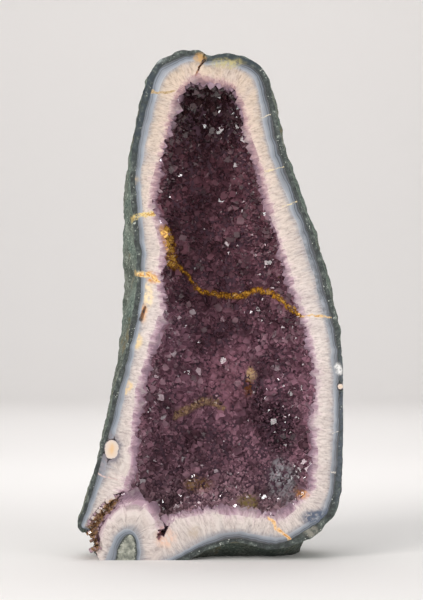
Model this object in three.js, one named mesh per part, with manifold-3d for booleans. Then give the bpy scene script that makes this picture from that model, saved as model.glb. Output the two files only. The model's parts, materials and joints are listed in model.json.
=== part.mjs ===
// A tall amethyst geode, sawn open down its front and sawn flat underneath so that it stands.
// Four minerals lie one inside the other round an open hollow: a basalt rind, a band of agate, a layer of
// white quartz and a bed of amethyst crystals. At the lower left the wall folds inwards round a stub of
// basalt with a ring of agate, and two cream nodules sit in the rim.
//
// Millimetres. The sawn front face looks along -Y, +Z is up and the stone rests on Z = 0.

import * as THREE from "three";
import { mergeVertices } from "three/addons/utils/BufferGeometryUtils.js";
import Module from "manifold-3d";

const wasm = await Module();
wasm.setup();

// ---------------------------------------------------------------- driving dimensions
const HEIGHT = 450;
const DEPTH_AT_BASE = 168; // from the sawn face to the back of the stone
const DEPTH_AT_TOP = 108;
const HEART = { x: 0, z: 165 }; // the wall closes in round this line towards the back
const GAP = 0.3; // left between neighbouring minerals
const OVERRUN = 30; // how far a cutting body stands past what it cuts
const BACK_WALL = { rind: 8, agate: 6, quartz: 18, druse: 9 }; // thickness behind the hollow
const DRUSE_AT_FACE = 7;

const ROUNDNESS = 2.6; // higher is a boxier back
const RINGS = [0, 0.12, 0.26, 0.42, 0.6, 0.78, 0.92]; // shares of the depth
const SWELL = { starts: 0.02, ends: 0.3 }; // where the sides swell behind the sawn face
const UNDERCUT = { starts: 0.14, ends: 0.46 }; // where the underside comes down to the floor

// The sawn edge of the stone, anticlockwise from the lower right as seen from the front. Each station has
// its place, how far the stone swells outwards behind the face, and its rind and agate thickness there.
const RIM = [
  { x: 107, z: 40, flare: 2.5, rind: 5, agate: 5 },
  { x: 113, z: 90, flare: 3, rind: 2.6, agate: 5 },
  { x: 115, z: 150, flare: 2, rind: 2.6, agate: 5.5 },
  { x: 110, z: 205, flare: 3, rind: 2.6, agate: 6 },
  { x: 88, z: 288, flare: 5, rind: 3, agate: 7 },
  { x: 63, z: 357, flare: 6, rind: 3, agate: 8 },
  { x: 54, z: 395, flare: 6, rind: 3, agate: 7.5 },
  { x: 46, z: 429, flare: 4, rind: 3.5, agate: 6 },
  { x: 27, z: 442, flare: 3, rind: 4, agate: 5 },
  { x: 8, z: 445.5, flare: 2, rind: 4, agate: 4 },
  { x: -4, z: 442.5, flare: 2, rind: 3, agate: 3.5 },
  { x: -14, z: 449, flare: 2, rind: 3, agate: 4.5 },
  { x: -49, z: 438, flare: 2.5, rind: 5.5, agate: 7.5 },
  { x: -59, z: 411, flare: 3.5, rind: 5, agate: 6 },
  { x: -70, z: 355, flare: 5, rind: 3.3, agate: 5.3 },
  { x: -71, z: 325, flare: 8, rind: 3.8, agate: 4.5 },
  { x: -66, z: 270, flare: 14.5, rind: 3.5, agate: 4 },
  { x: -67, z: 225, flare: 15, rind: 3, agate: 3 },
  { x: -80, z: 168, flare: 6, rind: 3, agate: 4.5 },
  { x: -98, z: 95, flare: 2.5, rind: 2.5, agate: 6 },
  { x: -113, z: 45, flare: 2, rind: 2.8, agate: 4 },
  { x: -118.5, z: 28, flare: 1, rind: 2.8, agate: 2.4 },
  { x: -109, z: 22, flare: 2, rind: 2.4, agate: 2.4 },
  { x: -103, z: 8, flare: 4, rind: 2.4, agate: 2.4 },
  { x: -92, z: -6, flare: 30, rind: 2.4, agate: 2.6 },
  { x: -60, z: -9, flare: 64, rind: 2.5, agate: 3 },
  { x: -30, z: -3, flare: 72, rind: 3.5, agate: 3.5 },
  { x: -6, z: 10, flare: 78, rind: 3, agate: 5 },
  { x: 24, z: 17.5, flare: 80, rind: 2, agate: 6 },
  { x: 56, z: 10, flare: 58, rind: 3, agate: 6 },
  { x: 84, z: 19, flare: 10, rind: 7, agate: 5 },
];

// The inner edge of the white quartz on the sawn face, anticlockwise from the lower right.
const HOLLOW = [
  [78, 49], [92, 62], [94, 95], [92, 124], [95, 150], [93, 177], [86, 208], [72, 247], [55, 304],
  [44, 348], [34, 375], [30, 400], [20, 420], [3, 424], [-12, 429], [-25, 423], [-37, 404], [-43, 380],
  [-50, 348], [-58, 314], [-49, 290], [-46, 270], [-50, 243], [-45, 221], [-55, 193], [-68, 150],
  [-72, 110], [-73, 82], [-80, 60], [-74, 38], [-58, 22], [-43, 19], [-34, 35], [0, 41], [35, 38], [62, 34],
];

// The fold in the wall at the lower left: domes one inside the other, each leaning over to the right.
const FOLD = { z: -6, lean: 0.2 };
const FOLD_QUARTZ = { x: -77, wide: 28, deep: 68, high: 57 };
const FOLD_RING = { x: -79.5, wide: 15, deep: 45, high: 35 };
const FOLD_CORE = { x: -77.5, wide: 9.5, deep: 38, high: 31 };

// The cleft between the left foot of the rim and the fold, where crystals reach the outside.
const CLEFT = [[-76, 68], [-92, 50], [-99, 38], [-108, 25], [-114, 23], [-125, 8], [-125, -20], [-60, -20]];
const CLEFT_DEPTH = 42;

const NODULES = {
  left_nodule: { x: -88.6, z: 97.5, wide: 6.6, deep: 11, high: 9.4 },
  right_nodule: { x: 112.4, z: 153, wide: 3.4, deep: 6, high: 3.7 },
};

// The larger crystals of the bed: rows of them at shares of the hollow's depth.
const CRYSTAL_ROWS = [
  { share: 0.16, count: 13 },
  { share: 0.4, count: 11 },
  { share: 0.62, count: 9 },
  { share: 0.82, count: 5 },
];
const CRYSTAL = { smallest: 6, largest: 9.5, side: 0.45, point: 1.05, root: 6, tilt: 0.35 };

// ---------------------------------------------------------------- outlines
const lerp = THREE.MathUtils.lerp;
const depthAt = (z) => lerp(DEPTH_AT_BASE, DEPTH_AT_TOP, THREE.MathUtils.clamp(z / HEIGHT, 0, 1));

// Points on a closed smooth curve through the corners, so many to each corner.
function smoothOutline(corners, perCorner) {
  const curve = new THREE.CatmullRomCurve3(
    corners.map(([x, z]) => new THREE.Vector3(x, 0, z)), true, "centripetal");
  const count = corners.length * perCorner;
  return Array.from({ length: count }, (_, i) => {
    const p = curve.getPoint(i / count);
    return new THREE.Vector2(p.x, p.z);
  });
}

// A value given at each corner, carried to the corners and the middles between them.
function withMiddles(values) {
  return values.flatMap((v, i) => [v, (v + values[(i + 1) % values.length]) / 2]);
}

// Outward normals of an anticlockwise outline.
function outwards(outline) {
  return outline.map((_, i) => {
    const before = outline[(i + outline.length - 1) % outline.length];
    const after = outline[(i + 1) % outline.length];
    return new THREE.Vector2(after.y - before.y, before.x - after.x).normalize();
  });
}

function inset(outline, amounts) {
  const normals = outwards(outline);
  return outline.map((p, i) => p.clone().addScaledVector(normals[i], -amounts[i]));
}

// ---------------------------------------------------------------- solids
function solidOf(geometry) {
  const bare = geometry.clone();
  bare.deleteAttribute("normal");
  bare.deleteAttribute("uv");
  const merged = mergeVertices(bare, 1e-4);
  return new wasm.Manifold(new wasm.Mesh({
    numProp: 3,
    vertProperties: new Float32Array(merged.attributes.position.array),
    triVerts: new Uint32Array(merged.index.array),
  }));
}

// Where the wall of a face outline runs at a share of its depth: it swells, then closes round the heart.
function wallPoint(edge, normal, flare, share, thickness) {
  const facingDown = THREE.MathUtils.smoothstep(-normal.y, 0.2, 0.8);
  const starts = lerp(SWELL.starts, UNDERCUT.starts, facingDown);
  const ends = lerp(SWELL.ends, UNDERCUT.ends, facingDown);
  const swell = flare * THREE.MathUtils.smoothstep(share, starts, ends);
  const closing = Math.sqrt(1 - share ** ROUNDNESS);
  const x = lerp(HEART.x, edge.x + normal.x * swell, closing);
  const z = lerp(HEART.z, edge.y + normal.y * swell, closing);
  return new THREE.Vector3(x, (depthAt(z) - thickness) * share, z);
}

// The closed body behind a face outline. It starts in front of the face, so that it cuts the face open.
function bodyBehind(outline, flares, thickness) {
  const normals = outwards(outline);
  const around = outline.length;
  const places = outline.map((p) => new THREE.Vector3(p.x, -OVERRUN, p.y));
  for (const share of RINGS)
    places.push(...outline.map((p, i) => wallPoint(p, normals[i], flares[i], share, thickness)));
  const triangles = [];
  for (let ring = 0; ring < RINGS.length; ring++)
    for (let i = 0; i < around; i++) {
      const here = ring * around + i;
      const next = ring * around + ((i + 1) % around);
      triangles.push(here, next + around, next, here, here + around, next + around);
    }
  const front = places.push(new THREE.Vector3(HEART.x, -OVERRUN, HEART.z)) - 1;
  const back = places.push(new THREE.Vector3(HEART.x, depthAt(HEART.z) - thickness, HEART.z)) - 1;
  const last = RINGS.length * around;
  for (let i = 0; i < around; i++) {
    const next = (i + 1) % around;
    triangles.push(front, i, next, back, last + next, last + i);
  }
  return solidOf(new THREE.BufferGeometry().setFromPoints(places).setIndex(triangles));
}

// A ball stretched to its half sizes, grown by a clearance.
function ball({ wide, deep, high }, grown, segments) {
  return new THREE.SphereGeometry(1, segments, segments / 2)
    .rotateX(Math.PI / 2)
    .scale(wide + grown, deep + grown, high + grown);
}

function dome(size, grown = 0) {
  return solidOf(ball(size, grown, 18).rotateY(FOLD.lean).translate(size.x, 0, FOLD.z));
}

function nodule(size, grown = 0) {
  return solidOf(ball(size, grown, 12).translate(size.x, 0, size.z));
}

function cleft(grown) {
  const shape = new THREE.Shape(CLEFT.map(([x, z]) => new THREE.Vector2(x, z)));
  const wedge = new THREE.ExtrudeGeometry(shape, { depth: OVERRUN + CLEFT_DEPTH - grown, bevelEnabled: false });
  return solidOf(wedge.rotateX(Math.PI / 2).translate(0, CLEFT_DEPTH - grown, 0));
}

// The block that keeps what lies behind the front cut and above the base cut.
function sawnBlock() {
  const width = 2 * HEIGHT;
  return solidOf(new THREE.BoxGeometry(width, width, width).translate(0, width / 2, width / 2));
}

// One crystal: a six-sided prism sunk in the bed, ending in a point of six faces.
function crystal(foot, direction, radius, turn) {
  const side = CRYSTAL.side * radius;
  const profile = [
    new THREE.Vector2(0, -CRYSTAL.root),
    new THREE.Vector2(radius, -CRYSTAL.root),
    new THREE.Vector2(radius, side),
    new THREE.Vector2(0, side + CRYSTAL.point * radius),
  ];
  const standing = new THREE.Quaternion().setFromUnitVectors(new THREE.Vector3(0, 1, 0), direction);
  return solidOf(new THREE.LatheGeometry(profile, 6)
    .rotateY(turn)
    .applyQuaternion(standing)
    .translate(foot.x, foot.y, foot.z));
}

// A repeatable stream of numbers from 0 to 1.
function numberStream(seed) {
  let state = seed;
  return () => {
    state = (state * 1664525 + 1013904223) % 4294967296;
    return state / 4294967296;
  };
}

// Crystals standing on the wall of the hollow, leaning in towards its middle and out of its mouth.
function crystalsOn(outline, flares, thickness) {
  const next = numberStream(7);
  const normals = outwards(outline);
  return CRYSTAL_ROWS.flatMap(({ share, count }, row) =>
    Array.from({ length: count }, (_, i) => {
      const along = (i + 0.5 * (row % 2) + 0.4 * next()) / count;
      const k = Math.floor(along * outline.length) % outline.length;
      const foot = wallPoint(outline[k], normals[k], flares[k], share + 0.06 * (next() - 0.5), thickness);
      const direction = new THREE.Vector3(HEART.x, foot.y / 3, HEART.z)
        .sub(foot)
        .normalize()
        .addScaledVector(new THREE.Vector3(-normals[k].x, 0, -normals[k].y), 1 - share)
        .add(new THREE.Vector3(CRYSTAL.tilt * (next() - 0.5), -share, CRYSTAL.tilt * (next() - 0.5)))
        .normalize();
      const radius = lerp(CRYSTAL.smallest, CRYSTAL.largest, next());
      return crystal(foot, direction, radius, next() * Math.PI);
    }));
}

const joined = (solids) => solids.reduce((sum, one) => sum.add(one));

// ---------------------------------------------------------------- boundaries between the minerals
const rimOutline = smoothOutline(RIM.map(({ x, z }) => [x, z]), 2);
const flareAt = withMiddles(RIM.map(({ flare }) => flare));
const rindAt = withMiddles(RIM.map(({ rind }) => rind));
const agateAt = withMiddles(RIM.map(({ agate }) => agate));
const hollowOutline = smoothOutline(HOLLOW, 1);
const hollowFlare = hollowOutline.map(() => 2);
const bedOutline = inset(hollowOutline, hollowOutline.map(() => DRUSE_AT_FACE));
const quartzBack = BACK_WALL.rind + BACK_WALL.agate + BACK_WALL.quartz;
const druseBack = quartzBack + BACK_WALL.druse;

function withinRind(grown) {
  const edge = inset(rimOutline, rindAt.map((rind) => rind + grown));
  return bodyBehind(edge, flareAt.map((flare) => 0.7 * flare), BACK_WALL.rind + grown);
}

function withinAgate(grown) {
  const edge = inset(rimOutline, rindAt.map((rind, i) => rind + agateAt[i] + grown));
  return bodyBehind(edge, flareAt.map((flare) => 0.55 * flare), BACK_WALL.rind + BACK_WALL.agate + grown);
}

function withinQuartz(grown) {
  const edge = inset(hollowOutline, hollowOutline.map(() => grown));
  return bodyBehind(edge, hollowFlare, quartzBack + grown)
    .add(cleft(grown))
    .subtract(dome(FOLD_QUARTZ, grown));
}

const stone = bodyBehind(rimOutline, flareAt, 0);
const sawn = stone.intersect(sawnBlock());
const sockets = joined(Object.values(NODULES).map((size) => nodule(size, GAP)));
const hollow = bodyBehind(bedOutline, hollowFlare, druseBack).subtract(dome(FOLD_QUARTZ, DRUSE_AT_FACE));

// ---------------------------------------------------------------- the minerals
function basaltRind() {
  return sawn
    .subtract(withinRind(0))
    .subtract(withinQuartz(0))
    .subtract(dome(FOLD_QUARTZ, GAP))
    .subtract(sockets);
}

function agateBand() {
  return withinRind(GAP)
    .intersect(sawn)
    .subtract(withinAgate(0))
    .subtract(withinQuartz(0))
    .subtract(dome(FOLD_QUARTZ, GAP))
    .subtract(sockets);
}

function quartzLayer() {
  return withinAgate(GAP)
    .add(dome(FOLD_QUARTZ))
    .intersect(sawn)
    .subtract(withinQuartz(0))
    .subtract(dome(FOLD_RING, GAP))
    .subtract(sockets);
}

function amethystDruse() {
  const bed = withinQuartz(GAP).intersect(sawn);
  const crystals = crystalsOn(bedOutline, hollowFlare, druseBack).map((one) => one.intersect(bed));
  return joined([bed.subtract(hollow), ...crystals]);
}

const MINERALS = {
  basalt_rind: { solid: basaltRind(), color: "#5f6f68", roughness: 0.9 },
  agate_band: { solid: agateBand(), color: "#7d8294", roughness: 0.3 },
  quartz_layer: { solid: quartzLayer(), color: "#ded7d2", roughness: 0.35 },
  amethyst_druse: { solid: amethystDruse(), color: "#5b3a55", roughness: 0.15 },
  agate_ring: {
    solid: dome(FOLD_RING).subtract(dome(FOLD_CORE, GAP)).intersect(sawn), color: "#8d90a0", roughness: 0.3,
  },
  basalt_core: { solid: dome(FOLD_CORE).intersect(sawn), color: "#7f8b80", roughness: 0.8 },
  left_nodule: { solid: nodule(NODULES.left_nodule).intersect(sawn), color: "#e2cdb4", roughness: 0.4 },
  right_nodule: { solid: nodule(NODULES.right_nodule).intersect(sawn), color: "#e6cdb6", roughness: 0.4 },
};

// ---------------------------------------------------------------- the geode
function meshOf(name, { solid, color, roughness }) {
  const { numProp, numVert, vertProperties, triVerts } = solid.getMesh();
  const places = Array.from({ length: numVert }, (_, i) =>
    new THREE.Vector3().fromArray(vertProperties, i * numProp));
  const geometry = new THREE.BufferGeometry().setFromPoints(places).setIndex([...triVerts]);
  geometry.computeVertexNormals();
  const mesh = new THREE.Mesh(geometry, new THREE.MeshStandardMaterial({ color, roughness, metalness: 0 }));
  mesh.name = name;
  return mesh;
}

const geode = new THREE.Group();
geode.add(...Object.entries(MINERALS).map(([name, mineral]) => meshOf(name, mineral)));

// The origin is on the floor, under the middle of the stone's box.
const middle = new THREE.Box3().setFromObject(geode).getCenter(new THREE.Vector3());
geode.position.set(-middle.x, -middle.y, 0);

export default geode;
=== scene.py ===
import json
import math
import random

import bmesh
import bpy
import numpy as np
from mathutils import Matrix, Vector, noise
from mathutils.bvhtree import BVHTree
from mathutils.kdtree import KDTree

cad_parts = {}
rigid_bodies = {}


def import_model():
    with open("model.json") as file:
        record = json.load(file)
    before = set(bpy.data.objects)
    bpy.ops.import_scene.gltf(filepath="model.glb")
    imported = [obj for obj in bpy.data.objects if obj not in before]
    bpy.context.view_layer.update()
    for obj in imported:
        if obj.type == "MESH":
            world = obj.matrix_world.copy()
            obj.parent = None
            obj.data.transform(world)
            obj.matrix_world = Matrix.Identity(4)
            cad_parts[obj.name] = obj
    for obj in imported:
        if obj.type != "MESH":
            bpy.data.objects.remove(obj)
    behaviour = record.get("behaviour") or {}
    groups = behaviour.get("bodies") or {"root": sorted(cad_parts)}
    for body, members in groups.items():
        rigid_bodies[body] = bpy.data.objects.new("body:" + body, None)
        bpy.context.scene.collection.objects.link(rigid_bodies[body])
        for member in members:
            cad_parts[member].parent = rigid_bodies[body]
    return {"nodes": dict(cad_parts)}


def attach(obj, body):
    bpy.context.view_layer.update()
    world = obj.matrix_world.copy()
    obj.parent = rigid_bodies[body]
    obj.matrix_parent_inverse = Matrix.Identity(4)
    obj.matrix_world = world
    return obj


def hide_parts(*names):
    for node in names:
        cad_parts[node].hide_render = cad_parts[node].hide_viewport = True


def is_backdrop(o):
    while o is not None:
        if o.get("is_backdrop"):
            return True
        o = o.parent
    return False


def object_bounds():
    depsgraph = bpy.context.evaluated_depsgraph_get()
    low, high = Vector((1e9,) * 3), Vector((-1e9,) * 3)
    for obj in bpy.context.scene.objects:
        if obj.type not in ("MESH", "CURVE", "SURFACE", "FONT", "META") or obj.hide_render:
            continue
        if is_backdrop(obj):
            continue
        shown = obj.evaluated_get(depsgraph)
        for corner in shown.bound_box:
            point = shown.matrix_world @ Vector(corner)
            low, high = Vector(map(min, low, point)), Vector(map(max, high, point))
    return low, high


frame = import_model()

mm = 0.001
tiny = 1e-6  # keeps a division from 0
lowCorner, highCorner = (Vector(corner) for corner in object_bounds())
faceY = lowCorner.y  # the sawn front lies in this plane
stoneSize = highCorner - lowCorner
scene = bpy.context.scene
noise.seed_set(3)  # without it the boundaries wander another way in every run


def linearColour(hexCode):
    channels = [int(hexCode[i:i + 2], 16) / 255 for i in (1, 3, 5)]
    return [c / 12.92 if c <= 0.04045 else ((c + 0.055) / 1.055) ** 2.4 for c in channels] + [1.0]


# adds a node with its settings and links; an input is a value, a hex colour, a node or one of its sockets
def addNode(tree, kind, inputs=None, stops=(), curve=(), **settings):
    node = tree.nodes.new(kind)
    for name, value in settings.items():
        setattr(node, name, value)
    for key, value in (inputs or {}).items():
        if isinstance(value, bpy.types.Node):
            value = next(socket for socket in value.outputs if socket.enabled)
        if isinstance(value, bpy.types.NodeSocket):
            tree.links.new(value, node.inputs[key])
        else:
            isColour = isinstance(value, str) and value.startswith("#")
            node.inputs[key].default_value = linearColour(value) if isColour else value
    for i, (place, colour) in enumerate(stops):
        elements = node.color_ramp.elements
        element = elements[i] if i < 2 else elements.new(place)
        element.position, element.color = place, linearColour(colour)
    if curve:
        points = node.mapping.curves[0].points
        points[0].location, points[1].location = curve[0], curve[-1]
        for x, y in curve[1:-1]:
            points.new(x, y)
        node.mapping.update()
    return node


# a place on the stone from shares of its width, from the left, and of its height, from the floor
def across(share):
    return lowCorner.x + share * stoneSize.x


def upwards(share):
    return lowCorner.z + share * stoneSize.z


# how every mineral is shaped
shaping = {
    "merge": 0.06 * mm,  # slivers of the CAD solids thinner than this are closed up
    "flatness": 0.03 * mm,  # a point this near a saw cut is on it
    "seam": 0.6 * mm,  # a wall this near its neighbour is grown together with it
    "closeSeam": 0.13 * mm,  # how far such a wall moves out, to meet the neighbour
    "clear": 1.2 * mm,  # a surface further than this from all neighbours is free to grow
    "basePitch": 6 * mm, "hiddenPitch": 60 * mm,  # longest edges on the sawn base and where nothing shows
    "cuts": 9,  # most rounds of cutting a piece finer
    "foldedBack": -0.8,  # two normals with a dot under this lie back to back
    "onePlane": 0.9999,  # two normals with a dot over this are of one plane
    "smoothing": 0.6,  # share of the way to its neighbours' middle that a point goes in one round
    "waviness": 1.0 * mm,  # how far every boundary wanders
    "waveLength": 11 * mm,
    "rippleHeight": 0.5, "ripples": 2.3,  # size and number of the smaller waves on a large one
    "calmFoot": 8 * mm,  # the upright wander grows to full size over this height
}
allNames = sorted(frame["nodes"])


def surfaceOf(names):
    points, faces = [], []
    for name in names:
        data = frame["nodes"][name].data
        faces += [tuple(i + len(points) for i in p.vertices) for p in data.polygons]
        points += [v.co.copy() for v in data.vertices]
    return BVHTree.FromPolygons(points, faces)


def neighboursOf(name):
    return surfaceOf([other for other in allNames if other != name])


def onFront(point):
    return abs(point.y - faceY) < shaping["flatness"]


def onBase(point):
    return abs(point.z - lowCorner.z) < shaping["flatness"]


def allOnFront(face):
    return all(onFront(v.co) for v in face.verts)


def allOnBase(face):
    return all(onBase(v.co) for v in face.verts)


# hollows cut into the sawn front: routes in shares of the stone's width and height
carvings = {
    "crown crack": {"route": [(0.484, 1.0), (0.475, 0.987), (0.481, 0.979), (0.460, 0.968), (0.455, 0.960),
                              (0.441, 0.950)],
                    "halfWidth": (0.9 * mm, 0.5 * mm), "depth": 2.5 * mm, "pitch": 0.6 * mm},
    "slit": {"route": [(0.254, 0.495), (0.246, 0.484), (0.239, 0.472)],
             "halfWidth": (1.3 * mm, 1.9 * mm), "depth": 6 * mm, "pitch": 0.8 * mm},
    "fold valley": {"route": [(0.195, 0.127), (0.135, 0.116), (0.097, 0.094), (0.063, 0.070), (0.050, 0.051),
                              (0.061, 0.026)],
                    "halfWidth": (5.0 * mm, 8.0 * mm), "depth": 8 * mm, "pitch": 1.6 * mm},
    "fold notch": {"route": [(0.345, 0.116), (0.328, 0.076), (0.312, 0.045)],
                   "halfWidth": (7.5 * mm, 2.8 * mm), "depth": 14 * mm, "pitch": 1.6 * mm},
}


# distance from a point of the front to a carving's route, and how far along the route that is, 0 to 1
def routePlace(point, route):
    best, where = 1.0, 0.0
    for i, (start, end) in enumerate(zip(route, route[1:])):
        a = Vector((across(start[0]), upwards(start[1])))
        b = Vector((across(end[0]), upwards(end[1])))
        p = Vector((point[0], point[2]))
        t = max(0.0, min(1.0, (p - a).dot(b - a) / (b - a).length_squared))
        away = (p - a.lerp(b, t)).length
        if away < best:
            best, where = away, (i + t) / (len(route) - 1)
    return best, where


# pushes the sawn front back inside the carvings
def carve(points, front):
    for i in np.flatnonzero(front):
        for carving in carvings.values():
            away, along = routePlace(points[i], carving["route"])
            narrow, wide = carving["halfWidth"]
            share = 1 - away / (narrow + (wide - narrow) * along)
            if share > 0:
                points[i][1] += carving["depth"] * math.sin(share * math.pi / 2)
    return points


# a copy of a CAD node, merged and cut finer: facePitch on the sawn front, skinPitch on what else shows
def startPiece(name, facePitch, skinPitch, basePitch=shaping["basePitch"]):
    bm = bmesh.new()
    bm.from_mesh(frame["nodes"][name].data)
    bmesh.ops.remove_doubles(bm, verts=bm.verts, dist=shaping["merge"])
    bmesh.ops.dissolve_degenerate(bm, edges=bm.edges, dist=shaping["merge"])
    bmesh.ops.triangulate(bm, faces=bm.faces)
    unfold(bm)
    near = neighboursOf(name)

    def longest(face):
        centre = face.calc_center_median()
        if allOnFront(face):
            reach = face.calc_area() ** 0.5 + 3 * mm  # of a carving's edge, so that both sides of it are fine
            return min([facePitch] + [c["pitch"] for c in carvings.values()
                                      if routePlace(centre, c["route"])[0] < max(c["halfWidth"]) + reach])
        if allOnBase(face):
            return basePitch
        return skinPitch if near.find_nearest(centre)[3] > shaping["seam"] else shaping["hiddenPitch"]

    for _ in range(shaping["cuts"]):
        bm.faces.index_update()
        limits = [longest(f) for f in bm.faces]
        longEdges = [e for e in bm.edges if e.calc_length() > min(limits[f.index] for f in e.link_faces)]
        if not longEdges:
            break
        bmesh.ops.subdivide_edges(bm, edges=longEdges, cuts=1)
        bmesh.ops.triangulate(bm, faces=[f for f in bm.faces if len(f.verts) > 3])
        evenOut(bm)
    return bm


# closes up any needle that is folded back over both its neighbours, by pulling its short edge together
def unfold(bm):
    folded = [None]
    while folded:
        bm.normal_update()
        folded = []
        for f in bm.faces:
            edges = sorted(f.edges, key=lambda e: e.calc_length())
            beside = [g for e in edges[1:] for g in e.link_faces if g is not f]
            if len(beside) == 2 and all(f.normal.dot(g.normal) < shaping["foldedBack"] for g in beside):
                folded.append(edges[0])
        bmesh.ops.collapse(bm, edges=folded, uvs=False)


# turns the edges between triangles that lie in one plane, so that none is a needle
def evenOut(bm):
    bm.normal_update()
    inner = [e for e in bm.edges if len(e.link_faces) == 2
             and e.link_faces[0].normal.dot(e.link_faces[1].normal) > shaping["onePlane"]]
    bmesh.ops.beautify_fill(bm, faces=list({f: 1 for e in inner for f in e.link_faces}), edges=inner)


# the same slow wander for every mineral, so that neighbours still meet; none of it leaves a saw cut
def wander(points):
    s = shaping
    moved = points.copy()
    for i, p in enumerate(points):
        shift = noise.noise_vector(Vector(p) / s["waveLength"])
        shift += s["rippleHeight"] * noise.noise_vector(Vector(p) * s["ripples"] / s["waveLength"])
        lifted = min(1.0, (p[2] - lowCorner.z) / s["calmFoot"])
        moved[i] += np.array([shift.x, 0, shift.z * lifted]) * s["waviness"]
    return np.clip(moved, lowCorner, highCorner)


def smoothed(points, edges, free, rounds):
    points = points.copy()
    a, b = edges[:, 0], edges[:, 1]
    count = np.bincount(np.concatenate([a, b]), minlength=len(points))[:, None]
    for _ in range(rounds):
        total = np.zeros_like(points)
        np.add.at(total, a, points[b])
        np.add.at(total, b, points[a])
        average = np.where(count > 0, total / np.maximum(count, 1), points)
        points[free] += shaping["smoothing"] * (average[free] - points[free])
    return points


# rounds the polygon corners out of a started piece and closes its seams
def settle(bm, name, skinRounds, rimRounds=6):
    bm.verts.index_update()
    points = np.array([v.co for v in bm.verts])
    near = neighboursOf(name)
    gaps = np.array([near.find_nearest(v.co)[3] for v in bm.verts])
    front = np.array([onFront(v.co) for v in bm.verts])
    base = np.array([onBase(v.co) for v in bm.verts])
    skin = (gaps > shaping["seam"]) & ~front & ~base
    allEdges = np.array([[v.index for v in e.verts] for e in bm.edges])
    points = smoothed(points, allEdges, skin, skinRounds)

    rim = [e for e in bm.edges if sum(allOnFront(f) for f in e.link_faces) == 1]
    rimEdges = np.array([[v.index for v in e.verts] for e in rim])
    onRim = np.zeros(len(points), bool)
    onRim[rimEdges.ravel()] = True
    points = smoothed(points, rimEdges, onRim & ~base, rimRounds)

    normals = np.zeros_like(points)
    for v in bm.verts:
        walls = [f.normal * f.calc_area() for f in v.link_faces if not allOnFront(f) and not allOnBase(f)]
        total = sum(walls, Vector())
        if front[v.index]:
            total.y = 0
        if base[v.index]:
            total.z = 0
        if total.length > 0:
            normals[v.index] = total.normalized()
    grown = (gaps < shaping["seam"])[:, None]
    points = points + normals * grown * shaping["closeSeam"]
    return points, normals, skin, front


def putBack(bm, points):
    for v, p in zip(bm.verts, points):
        v.co = p


def storeNumbers(data, name, values, domain="POINT"):
    attribute = data.attributes.new(name, "FLOAT", domain)
    attribute.data.foreach_set("value", np.asarray(values, np.float32))


def storeVectors(data, name, values):
    attribute = data.attributes.new(name, "FLOAT_VECTOR", "POINT")
    attribute.data.foreach_set("vector", np.asarray(values, np.float32).ravel())


# puts a finished mesh in the scene, in place of a CAD node
def showPiece(data, node):
    piece = bpy.data.objects.new(data.name, data)
    scene.collection.objects.link(piece)
    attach(piece, "root")
    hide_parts(node)
    return piece


def finishPiece(bm, name, node, materials):
    bmesh.ops.recalc_face_normals(bm, faces=bm.faces)
    data = bpy.data.meshes.new(name)
    bm.to_mesh(data)
    bm.free()
    for material in materials:
        data.materials.append(material)
    return showPiece(data, node)


def startMaterial(name):
    material = bpy.data.materials.new(name)
    material.use_nodes = True
    material.node_tree.nodes.clear()
    place = addNode(material.node_tree, "ShaderNodeTexCoord").outputs["Object"]
    return material, material.node_tree, place


# a shader from its settings, with a relief of (height, distance, strength), and the material's output
def finishMaterial(material, looks, relief=None, volume=None):
    tree = material.node_tree
    if relief:
        height, distance, strength = relief
        bump = addNode(tree, "ShaderNodeBump", {"Height": height, "Distance": distance, "Strength": strength})
        looks = {**looks, "Normal": bump}
    results = {"Surface": addNode(tree, "ShaderNodeBsdfPrincipled", looks)}
    if volume:
        results["Volume"] = volume
    addNode(tree, "ShaderNodeOutputMaterial", results)
    return material


# colour with another laid over it, by the first share where the value is at the first limit and the second
# share where it is at the second
def overlaid(tree, colour, over, value, limits, shares=(0.0, 1.0), **settings):
    share = addNode(tree, "ShaderNodeMapRange", {
        "Value": value, "From Min": limits[0], "From Max": limits[1],
        "To Min": shares[0], "To Max": shares[1]}, **settings)
    return addNode(tree, "ShaderNodeMix", {0: share, 6: colour, 7: over}, data_type="RGBA")


# colour with clouds of another laid over it, up to the share most
def clouded(tree, place, colour, over, size, limits, most, detail=4.0, roughness=0.5):
    clouds = addNode(tree, "ShaderNodeTexNoise", {
        "Vector": place, "Scale": 1 / size, "Detail": detail, "Roughness": roughness})
    return overlaid(tree, colour, over, clouds, limits, (0.0, most))


# iron stains and veins, which cross several minerals
stains = {
    "wobble": (7 * mm, 3.5 * mm),  # length and reach of the noise that bends every edge
    "breakUp": 3 * mm, "limits": (0.36, 0.58), "least": 0.15,  # gaps: size, levels and what is left in them
    "streaks": 1.3 * mm, "streakiness": 2.2,  # grain in the core of a vein
    "core": (0.5, 0.9), "edge": (0.05, 0.5),  # mask values between which a vein's two colours come in
    "fadeStart": 4 * mm,  # where a fade behind the saw cut begins
}
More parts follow.
